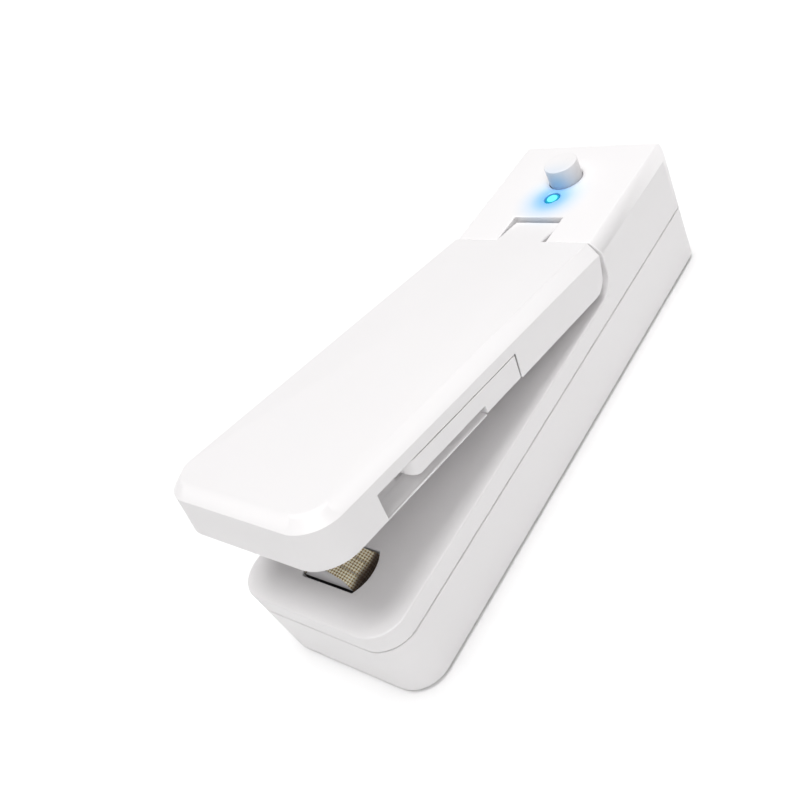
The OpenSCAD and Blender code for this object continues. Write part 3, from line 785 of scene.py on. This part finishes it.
def bent_cloth(shape, sizes):
    """A flat grid bent round the arch and down both sides, with its yarns raised."""
    step = 0.085 * MM
    counts = [int(2 * sizes[key] / step) for key in ("Half length", "Tab half width")]
    grid = {"Size X": shape.size("Half length") * 2, "Size Y": shape.size("Tab half width") * 2,
            "Vertices X": counts[0], "Vertices Y": counts[1]}
    flat = shape.node("GeometryNodeMeshGrid", None, grid)
    along, across, _ = shape.split(shape.node("GeometryNodeInputPosition"))
    radius, bend, pitch = [shape.size(key) for key in ("Arch radius", "Arch angle", "Yarn pitch")]
    run = along.size()
    angle = (run / radius).at_most(bend)
    past = (run - radius * bend).at_least(0.0)
    corner, soft = sizes["Arch radius"] * sizes["Arch angle"], 0.25 * MM
    lean = angle + (pi / 2 - sizes["Arch angle"]) * run.ramp(corner - soft, corner + soft)
    height = shape.size("Hub height") + radius * angle.math("COSINE") - past
    half, wide = cloth_width(shape, height)
    y = across / shape.size("Tab half width") * half
    crown = weave(along / pitch, y / pitch)
    strip = shape.size("Strip half width")
    ridge = 1 - y.size().ramp(strip - 0.15 * MM, strip + 0.2 * MM)
    lift = crown * shape.size("Relief") + ridge * shape.size("Strip rise") * (1 - wide)
    x = along.math("SIGN") * (radius * angle.sine() + lift * lean.sine())
    z = height + lift * lean.math("COSINE")
    place = shape.join(x, y + middle("heater_cloth").y, z)
    kept = shape.node("GeometryNodeStoreNamedAttribute", {"data_type": "FLOAT", "domain": "POINT"},
                      {"Geometry": flat, "Name": "crown", "Value": crown})
    return shape.node("GeometryNodeSetPosition", None, {"Geometry": kept, "Position": place})


def make_cloth(finishes):
    """The woven strip over the head, cut as a band with a wide tab at each end."""
    sizes = cloth_sizes()
    shape = Shape("woven_strip", sizes)
    cloth = shape.build("woven_cloth", bent_cloth(shape, sizes), finishes["glass_cloth"])
    thicken = cloth.modifiers.new("thickness", "SOLIDIFY")
    thicken.thickness = 0.12 * MM
    thicken.offset = -1
    applied(cloth)
    smooth(cloth, 60)
    stand_for(cloth, "base", "heater_cloth")
    long_side, short_side = 2 * sizes["Half length"], 2 * sizes["Tab half width"]
    narrowing = 0.93
    band = 2 * sizes["Band half width"] * (long_side - 4 * TAB_LENGTH) * narrowing
    2 * short_side * TAB_LENGTH + band


def make_leads(finishes):
    """Two insulated wires under the deck, bent up to the circuit board with a round elbow."""
    ends = islands("heater_leads")
    radius = (ends[0][1].x - ends[0][0].x) / 2
    start = bpy.data.meshes.new("lead_line")
    points = []
    for lo, hi in ends:
        x = (lo.x + hi.x) / 2
        points += [(x, lo.y, lo.z + radius), (x, hi.y - radius, lo.z + radius), (x, hi.y - radius, hi.z)]
    start.from_pydata(points, [(0, 1), (1, 2), (3, 4), (4, 5)], [])
    shape = Shape("leads", {"Wire radius": radius, "Elbow": 2.0 * MM, "Sides": 20})
    line = shape.node("GeometryNodeMeshToCurve", None, {0: Value(shape, shape.group.outputs["Geometry"])})
    elbow = {"Radius": shape.size("Elbow"), "Count": 10}
    round_line = shape.node("GeometryNodeFilletCurve", {"mode": "POLY"}, {0: line, **elbow})
    tube = shape.tube(round_line, shape.size("Wire radius"), shape.size("Sides"))
    leads = shape.build("insulated_leads", tube, finishes["lead_insulation"], start)
    smooth(leads)
    stand_for(leads, "base", "heater_leads")


# ---------- spring and screws ----------

def make_spring(finishes):
    """A compression spring with closed ends."""
    lo, hi = low("arm_spring"), high("arm_spring")
    wire = 0.3 * MM
    sizes = {"Turns": 7.5, "Coil radius": (hi.x - lo.x) / 2 - wire, "Wire radius": wire,
             "Height": hi.z - lo.z - 2 * wire, "Sides": 12}
    shape = Shape("coil_spring", sizes)
    helix = {"Resolution": 40, "Rotations": shape.size("Turns"), "Start Radius": shape.size("Coil radius"),
             "End Radius": shape.size("Coil radius"), "Height": shape.size("Height")}
    curve = shape.node("GeometryNodeCurveSpiral", None, helix)
    x, y, z = shape.split(shape.node("GeometryNodeInputPosition"))
    part = z / shape.size("Height")
    closed = z - (part * (2 * pi)).sine() * shape.size("Height") * (0.8 / (2 * pi))
    centre = middle("arm_spring")
    place = shape.join(x + centre.x, y + centre.y, closed + (lo.z + wire))
    coil = shape.node("GeometryNodeSetPosition", None, {"Geometry": curve, "Position": place})
    tube = shape.tube(coil, shape.size("Wire radius"), shape.size("Sides"))
    spring = shape.build("coil_spring", tube, finishes["spring_steel"])
    smooth(spring)
    stand_for(spring, "base", "arm_spring")
    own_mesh(spring)


def thread(radius, depth, pitch, start, end, steps=24):
    """A screw's shank with a helical ridge and a blunt cone at its far end."""
    shape = bmesh.new()
    per_turn = 4
    count = max(per_turn, int((end - start) / pitch * per_turn))
    rings = []
    for k in range(count + 1):
        z = start + (end - start) * k / count
        taper = min(1, 0.35 + (count - k) / per_turn * 0.5)
        ring = []
        for i in range(steps):
            phase = (z / pitch - i / steps) % 1
            r = (radius - depth * min(phase, 1 - phase) * 2) * taper
            ring.append(shape.verts.new((r * cos(2 * pi * i / steps), r * sin(2 * pi * i / steps), z)))
        rings.append(ring)
    for under, over in zip(rings, rings[1:]):
        for i in range(steps):
            j = (i + 1) % steps
            shape.faces.new([under[i], under[j], over[j], over[i]])
    shape.faces.new(rings[0][::-1])
    shape.faces.new(rings[-1])
    return shape


def cross_cutter(radius, depth):
    """A tapered cross, for the driver's recess in a head whose outer face is at height 0."""
    shape = bmesh.new()
    wide, thin = radius * 0.62, radius * 0.16
    for turn in (0, 90):
        made = bmesh.ops.create_cube(shape, size=2)["verts"]
        for vert in made:
            inner = vert.co.z > 0
            vert.co.x *= wide * (0.45 if inner else 1)
            vert.co.y *= thin * (0.7 if inner else 1)
            vert.co.z = depth if inner else -depth
        bmesh.ops.rotate(shape, verts=made, cent=(0, 0, 0), matrix=Matrix.Rotation(radians(turn), 3, "Z"))
    return shape


def pattern_screw(head_r, head_h, shank_r, length, finish):
    """One screw, pointing up, with its head's outer face at the origin."""
    edge = head_h * 0.35
    profile = [(0, 0), (head_r - edge, 0)] + arc((head_r - edge, edge), edge, -90, 0, 4)[1:]
    profile += [(head_r, head_h), (0, head_h)]
    head = from_bmesh("pattern", lathe(profile, 40), finish)
    cutter = from_bmesh("cutter", cross_cutter(head_r, head_h * 0.6), finish)
    recess = head.modifiers.new("recess", "BOOLEAN")
    recess.operation = "DIFFERENCE"
    recess.solver = "EXACT"
    recess.use_self = True
    recess.object = cutter
    applied(head)
    bpy.data.objects.remove(cutter)
    shape = bmesh.new()
    shape.from_mesh(head.data)
    joined(shape, thread(shank_r, shank_r * 0.22, 0.6 * MM, head_h - CLEAR, length))
    shape.to_mesh(head.data)
    shape.free()
    smooth(head)
    return head


def make_screws(node, body, finishes, turn=Matrix()):
    """Every screw of one CAD node, from one pattern screw set at each screw's place."""
    boxes = islands(node, turn)
    lo, hi = boxes[0]
    head_r, shank_r = (hi.x - lo.x) / 2, 0.85 * MM
    pattern = pattern_screw(head_r, SCREW_HEAD[node], shank_r, hi.z - lo.z, finishes["screw_steel"])
    start = bpy.data.meshes.new("places")
    spots = [((a.x + b.x) / 2, (a.y + b.y) / 2, a.z) for a, b in boxes]
    start.from_pydata(spots, [], [])
    shape = Shape("screws", {"Screw": pattern, "First turn": 0.4, "Turn step": 0.9})
    info = shape.node("GeometryNodeObjectInfo", None, {"Object": shape.size("Screw")}, "Geometry")
    index = shape.node("GeometryNodeInputIndex")
    spin = shape.join(0.0, 0.0, index * shape.size("Turn step") + shape.size("First turn"))
    points = Value(shape, shape.group.outputs["Geometry"])
    set_screws = shape.node("GeometryNodeInstanceOnPoints", None,
                            {"Points": points, "Instance": info, "Rotation": spin})
    screws = shape.build(node + "_cut", set_screws, finishes["screw_steel"], start)
    bpy.data.objects.remove(pattern)
    screws.data.transform(turn)
    smooth(screws)
    stand_for(screws, body, node)


# ---------- parts on the circuit board ----------

def leg(box, side, y):
    """One bent leg of the chip: out of its side, down and along the board."""
    reach, half = 0.75, 0.16 * MM
    over = [(0, 0.62), (0.35, 0.62), (0.45, 0.12), (reach, 0.12)]
    under = [(reach, 0), (0.38, 0), (0.28, 0.5), (0, 0.5)]
    outline = over + under
    lo, hi = box
    start = hi.x - reach * MM if side > 0 else lo.x + reach * MM
    shape = bmesh.new()
    rings = []
    for edge in (-half, half):
        spots = [(start + side * out * MM, y + edge, lo.z + up * MM) for out, up in outline]
        rings.append([shape.verts.new(spot) for spot in spots])
    shape.faces.new(rings[0])
    shape.faces.new(rings[1][::-1])
    for i in range(len(outline)):
        after = (i + 1) % len(outline)
        shape.faces.new((rings[0][after], rings[0][i], rings[1][i], rings[1][after]))
    bmesh.ops.recalc_face_normals(shape, faces=shape.faces)
    return shape


def drum_outline(radius, tall, flange, waist):
    """Half the section of a drum: two flanges with rounded rims and a waist between them."""
    bend = 0.06 * MM
    outline = [(0, 0)] + arc((radius - bend, bend), bend, -90, 0, 3)
    outline += [(radius, flange), (waist, flange), (waist, tall - flange), (radius, tall - flange)]
    return outline + arc((radius - bend, tall - bend), bend, 0, 90, 3) + [(0, tall)]


def wound_coil(box, finishes):
    """A ferrite drum with its copper winding round the waist."""
    lo, hi = box
    radius, tall = (hi.x - lo.x) / 2, hi.z - lo.z
    flange, waist = 0.32 * MM, radius * 0.62
    centre = ((lo.x + hi.x) / 2, (lo.y + hi.y) / 2, lo.z)
    wire, turns = 0.09 * MM, 6
    outer, inner = radius * 0.86, waist - 0.05 * MM
    winding = [(inner, flange + 0.03 * MM)]
    for i in range(turns):
        winding += arc((outer, flange + 0.04 * MM + wire * (2 * i + 1)), wire, -90, 90, 4)
    winding.append((inner, flange + 0.05 * MM + wire * 2 * turns))
    drum = placed(lathe(drum_outline(radius, tall, flange, waist), 40), centre)
    core = from_bmesh("ferrite_drum", drum, finishes["black_parts"])
    copper = from_bmesh("copper_winding", placed(ring(winding, 40), centre), finishes["brass"])
    stand_for(core, "base", "board_parts")
    stand_for(copper, "base", "board_parts")


def make_board_parts(finishes):
    """The chip with its bent legs, the wound coil and the row of small capacitors."""
    black, nickel = finishes["black_parts"], finishes["nickel"]
    boxes = islands("board_parts")
    longest_small = 2 * MM
    small = [box for box in boxes if box[1].x - box[0].x < longest_small]
    coil, chip = sorted((box for box in boxes if box not in small), key=lambda box: box[0].x)
    wound_coil(coil, finishes)
    lo, hi = chip
    size = hi - lo
    gap, inset = 0.1 * MM, 0.7 * MM
    centre = (lo + hi) / 2 + Vector((0, 0, gap / 2))
    shapes = [block(centre, (size.x - 2 * inset, size.y, size.z - gap), 0.08 * MM)]
    metal_shapes = [leg(chip, side, lo.y + (0.5 + i) * size.y / 4) for side in (-1, 1) for i in range(4)]
    cap = 0.32 * MM
    for lo, hi in small:
        size, centre = hi - lo, (lo + hi) / 2
        shapes.append(block(centre, (size.x - cap, size.y * 0.93, size.z * 0.93), 0.03 * MM))
        for end in (lo.x + cap / 2, hi.x - cap / 2):
            metal_shapes.append(block((end, centre.y, centre.z), (cap, size.y, size.z), 0.04 * MM))
    stand_for(from_bmesh("chip_bodies", joined(*shapes), black), "base", "board_parts")
    stand_for(from_bmesh("tinned_ends", joined(*metal_shapes), nickel), "base", "board_parts")


# ---------- turned pieces ----------

def make_button(finishes):
    """The push button: a flange below, a straight side, a rounded rim and a shallow dish on top."""
    lo, hi = low("power_button"), high("power_button")
    flange_r, flange_h = (hi.x - lo.x) / 2, 0.9 * MM
    radius, rim, dish = 3.25 * MM, 0.16 * MM, 0.08 * MM
    profile = [(0, lo.z), (flange_r, lo.z), (flange_r, lo.z + flange_h), (radius, lo.z + flange_h)]
    profile += arc((radius - rim, hi.z - rim), rim, 0, 90, 8)
    profile += [(radius * part, hi.z - dish * (1 - (part / 0.84) ** 2)) for part in (0.8, 0.6, 0.4, 0.2, 0)]
    button = from_bmesh("button_cap", placed(lathe(profile, 96), (0, middle("power_button").y, 0)),
                        finishes["white_button"])
    stand_for(button, "button", "power_button")


def make_indicator(finishes):
    """A low-domed lens on a flange, and its two tinned legs, which go into the board."""
    lo, hi = low("indicator_led"), high("indicator_led")
    y, radius, flange_r = middle("indicator_led").y, 1.5 * MM, 1.9 * MM
    seat, flange_h = lo.z + 1.4 * MM, 0.9 * MM
    profile = [(0, seat), (flange_r, seat), (flange_r, seat + flange_h), (radius, seat + flange_h)]
    cap, crown = 0.3 * MM, 0.12 * MM
    profile += arc((radius - cap, hi.z - crown - cap), cap, 0, 90, 6)
    profile += [((radius - cap) * part, hi.z - crown * part ** 2) for part in (0.75, 0.5, 0.25, 0)]
    lens = from_bmesh("indicator_lens", placed(lathe(profile, 48), (0, y, 0)), finishes["led_lens"])
    stand_for(lens, "base", "indicator_led")
    thick, tall, leg_x = 0.5 * MM, seat - lo.z + CLEAR, 1.27 * MM
    size, mid_z = (thick, thick, tall), lo.z + tall / 2
    legs = [block((x, y, mid_z), size, 0.05 * MM) for x in (-leg_x, leg_x)]
    pair = from_bmesh("indicator_legs", joined(*legs), finishes["nickel"])
    stand_for(pair, "base", "indicator_led")


def cell_contact(radius, recess):
    """A flat metal disc with softened edges."""
    edge = 0.05 * MM
    outline = [(0, 0), (radius - edge, 0), (radius, edge)]
    return lathe(outline + [(radius, recess - edge), (radius - edge, recess), (0, recess)])


def make_battery(finishes):
    """The cell: a shrink film drawn over its rim, a crimped groove and a contact at each end."""
    lo, hi = low("battery"), high("battery")
    radius, length, centre_z = (hi.x - lo.x) / 2, hi.y - lo.y, middle("battery").z
    rim, groove, recess = 0.5 * MM, 0.25 * MM, 0.3 * MM
    hole_r, film_r, crimp = radius * 0.7, radius * 0.72, 3.4 * MM
    profile = [(0, recess), (hole_r, recess), (film_r, 0)]
    profile += arc((radius - rim, rim), rim, -90, 0, 6)
    waves = [0.5 - 0.5 * cos(pi * i / 4) for i in range(9)]
    profile += [(radius - groove * dip, length - crimp + 0.2 * i * MM) for i, dip in enumerate(waves)]
    profile += arc((radius - rim, length - rim), rim, 0, 90, 6)
    profile += [(film_r, length), (hole_r, length - recess), (0, length - recess)]
    turn = Matrix.Rotation(radians(-90), 4, "X")
    film = placed(lathe(profile), (0, lo.y, centre_z), turn)
    stand_for(from_bmesh("wrapped_cell", film, finishes["cell_wrap"]), "base", "battery")
    ends = (lo.y, hi.y - recess)
    contacts = [placed(cell_contact(radius * 0.69, recess), (0, y, centre_z), turn) for y in ends]
    discs = from_bmesh("cell_contacts", joined(*contacts), finishes["nickel"])
    stand_for(discs, "base", "battery")


def make_pin(name, node, body, slot, finishes, axis, turn=Matrix(), domed=False):
    """A pin along one axis, with a chamfer or a dome at both ends."""
    lo, hi = islands(node, turn)[0]
    size, centre = hi - lo, (lo + hi) / 2
    radius = size.y / 2
    edge = radius * 0.8 if domed else 0.18 * MM
    if axis == "X":
        length, start = size.x, (lo.x, centre.y, centre.z)
        way = Matrix.Rotation(radians(90), 4, "Y")
    else:
        length, start = size.z, (centre.x, centre.y, lo.z)
        way = Matrix()
    profile = [(0, 0)] + arc((radius - edge, edge), edge, -90, 0, 5)
    profile += arc((radius - edge, length - edge), edge, 0, 90, 5) + [(0, length)]
    shape = placed(lathe(profile, 40), start, way)
    bmesh.ops.transform(shape, matrix=turn, verts=shape.verts)
    stand_for(from_bmesh(name, shape, finishes[slot]), body, node)


def make_pins(finishes):
    make_pin("hinge_rod", "hinge_pin", "base", "pin_steel", finishes, "X")
    make_pin("lever_rod", "lever_pin", "arm", "pin_steel", finishes, "Z", ARM_TURN)
    make_pin("domed_rivet", "blade_rivet", "lever", "pin_steel", finishes, "Z", ARM_TURN, True)
    make_pin("switch_stem", "switch_plunger", "button", "stem_plastic", finishes, "Z")


# ---------- the scene ----------

def finish_cad_nodes(finishes):
    """Gives each CAD node the finish of its slot."""
    for part in frame["record"]["subparts"]:
        mesh = NODES[part["node"]].data
        if not mesh.materials:
            mesh.materials.append(None)
        for i in range(len(mesh.materials)):
            mesh.materials[i] = finishes[part["material_slot"]]


def place_camera():
    data = bpy.data.cameras.new("camera")
    data.sensor_width = 36
    data.lens = 40.99
    data.shift_x = -0.1023
    data.shift_y = 0.0386
    data.clip_start = 0.01
    camera = bpy.data.objects.new("camera", data)
    camera.location = (0.0982, -0.0825, 0.1144)
    camera.rotation_euler = [radians(a) for a in (44.954, 21.813, 31.733)]
    bpy.context.scene.collection.objects.link(camera)
    bpy.context.scene.camera = camera


def wide_sun(name, towards, strength, spread):
    data = bpy.data.lights.new(name, "SUN")
    data.energy = strength
    data.angle = radians(spread)
    light = bpy.data.objects.new(name, data)
    light.rotation_euler = Vector(towards).to_track_quat("-Z", "Y").to_euler()
    bpy.context.scene.collection.objects.link(light)


def light_scene():
    world = bpy.data.worlds.new("studio")
    world.use_nodes = True
    background = world.node_tree.nodes["Background"]
    background.inputs["Color"].default_value = (1.0, 0.97, 0.965, 1)
    background.inputs["Strength"].default_value = 0.12
    bpy.context.scene.world = world
    wide_sun("above", (0.02, -0.03, -1), 2.66, 40)
    wide_sun("right", (-0.5, 0.34, -0.78), 0.85, 40)
    view = bpy.context.scene.view_settings
    view.view_transform = "Standard"
    view.look = "None"


def make_floor():
    mesh = bpy.data.meshes.new("floor")
    far, level = 3, -0.05 * MM
    corners = [(-far, -far, level), (far, -far, level), (far, far, level), (-far, far, level)]
    mesh.from_pydata(corners, [], [(0, 1, 2, 3)])
    finish = Finish("floor_white", Roughness=0.9)
    finish.vary("Base Color", finish.mix(finish.noise(30 * MM), (0.93, 0.93, 0.93), (0.95, 0.95, 0.95)))
    new_piece("floor", mesh, finish.material)


def main():
    place_camera()
    light_scene()
    make_floor()
    finishes = make_finishes()
    finish_cad_nodes(finishes)
    make_mouldings(finishes)
    make_cloth(finishes)
    make_leads(finishes)
    make_spring(finishes)
    make_screws("base_screws", "base", finishes)
    make_screws("arm_screws", "arm", finishes, ARM_TURN)
    make_screws("board_screws", "base", finishes)
    make_button(finishes)
    make_indicator(finishes)
    make_battery(finishes)
    make_board_parts(finishes)
    make_pins(finishes)


main()
